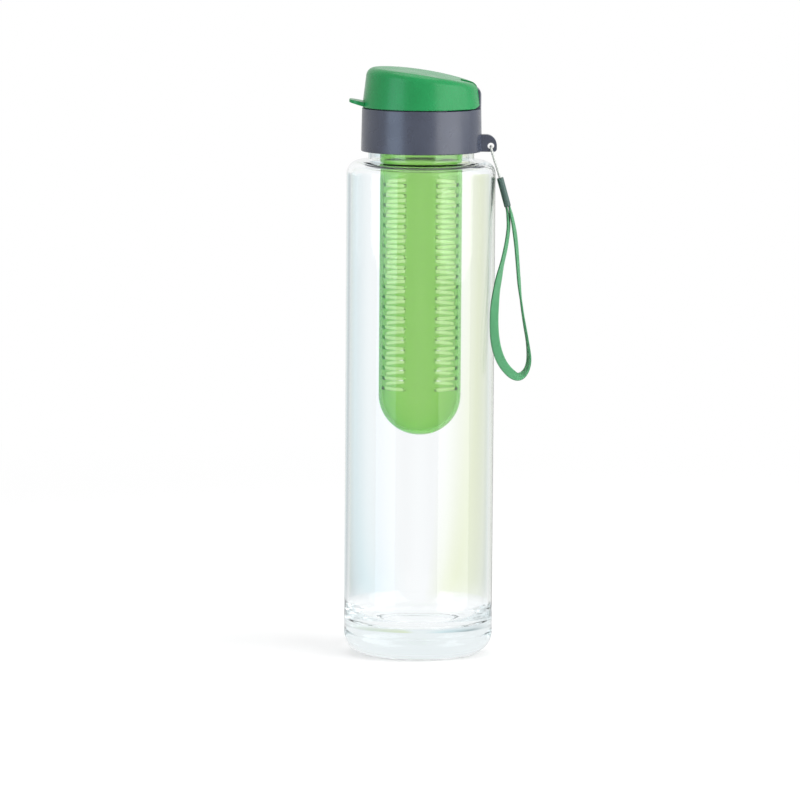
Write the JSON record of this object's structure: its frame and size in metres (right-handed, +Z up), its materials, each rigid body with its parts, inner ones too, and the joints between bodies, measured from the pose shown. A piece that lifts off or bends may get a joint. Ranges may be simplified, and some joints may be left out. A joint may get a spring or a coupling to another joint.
{
  "type": "fruit infuser water bottle",
  "caption": "Tall clear water bottle with a slotted infuser tube under a screw collar, a flip lid over a drinking spout, and a wrist strap.",
  "frame": {"origin": "centre of the base, on the surface that the bottle stands on", "axes": "+Z up along the bottle's axis, +X towards the lid's hinge and the strap lug, so the thumb tab is at -X"},
  "size_m": [0.0963, 0.076, 0.3004],
  "materials": {
    "clear_plastic": "clear, polished",
    "collar_plastic": "satin",
    "lid_plastic": "satin",
    "infuser_plastic": "translucent, polished",
    "spout_plastic": "satin",
    "seal_silicone": "soft, matte",
    "pin_steel": "drawn wire",
    "ferrule_plastic": "moulded",
    "cord_fibre": "twisted",
    "strap_webbing": "woven"
  },
  "bodies": {
    "bottle": {"bottle_body": "clear_plastic"},
    "cap_ring": {"cap_seal": "seal_silicone"},
    "cap": {"cap_collar": "collar_plastic", "drinking_spout": "spout_plastic", "spout_seal": "seal_silicone", "hinge_pin": "pin_steel"},
    "lid": {"flip_lid": "lid_plastic", "spout_stopper": "seal_silicone"},
    "infuser_ring": {"infuser_seal": "seal_silicone"},
    "infuser": {"infuser_basket": "infuser_plastic"},
    "strap": {"strap_cord": "cord_fibre", "strap_ferrule": "ferrule_plastic", "wrist_strap": "strap_webbing"}
  },
  "joints": [
    {"name": "cap_lift", "type": "slide", "parent": "bottle", "child": "cap_ring", "axis": [0, 0, 1], "range_m": [0, 0.0126]},
    {"name": "cap_turn", "type": "hinge", "parent": "cap_ring", "child": "cap", "pos_m": [0, 0, 0.2688], "axis": [0, 0, 1], "range_deg": [0, 900]},
    {"name": "lid_flip", "type": "hinge", "parent": "cap", "child": "lid", "pos_m": [0.0253, 0, 0.2861], "axis": [0, 1, 0], "range_deg": [0, 140]},
    {"name": "infuser_drop", "type": "slide", "parent": "cap", "child": "infuser_ring", "axis": [0, 0, -1], "range_m": [0, 0.0091]},
    {"name": "infuser_turn", "type": "hinge", "parent": "infuser_ring", "child": "infuser", "pos_m": [0, 0, 0.27], "axis": [0, 0, -1], "range_deg": [0, 810]},
    {"name": "strap_swing", "type": "hinge", "parent": "cap", "child": "strap", "pos_m": [0.0354, 0, 0.2602], "axis": [0, -1, 0], "range_deg": [0, 90]}
  ],
  "couplings": [
    {"joint": "cap_lift", "follows": "cap_turn", "m_per_rad": 0.00079577},
    {"joint": "infuser_drop", "follows": "infuser_turn", "m_per_rad": 0.00063662}
  ]
}
